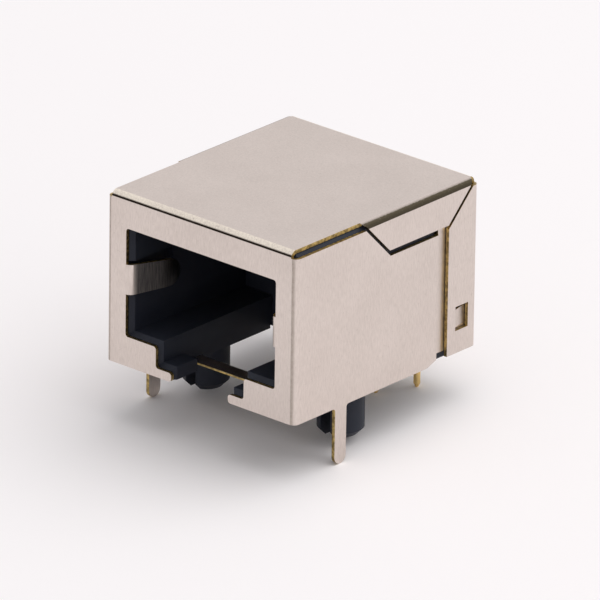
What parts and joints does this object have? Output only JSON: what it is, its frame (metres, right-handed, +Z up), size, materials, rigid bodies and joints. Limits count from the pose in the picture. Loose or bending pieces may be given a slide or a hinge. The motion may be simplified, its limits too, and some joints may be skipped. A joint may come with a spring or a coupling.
{
  "type": "shielded modular board jack",
  "caption": "Shielded right-angle modular jack for a circuit board, with a folded sheet shield, black moulded housing, split locating pegs and a comb of spring wire contacts.",
  "frame": {"origin": "midway between the axes of the two locating pegs, in the plane of the board's surface, which is the housing's underside", "axes": "+Z up away from the board; -Y out of the plug opening, so +Y points to the rear; +X to the right as seen from the rear"},
  "size_m": [0.016, 0.0176, 0.0156],
  "materials": {
    "nickel_plate": "thin brass sheet with a satin nickel plate, bare brass at its cut edges",
    "black_moulding": "glass-filled black, satin",
    "carrier_moulding": "glass-filled black, satin",
    "gold_wire": "gold-plated spring wire, polished"
  },
  "bodies": {
    "root": {"shield": "nickel_plate", "housing": "black_moulding", "contact_carrier": "carrier_moulding", "latch_strap": "nickel_plate", "contact_1": "gold_wire", "contact_2": "gold_wire", "contact_3": "gold_wire", "contact_4": "gold_wire", "contact_5": "gold_wire", "contact_6": "gold_wire", "contact_7": "gold_wire", "contact_8": "gold_wire"}
  },
  "joints": []
}
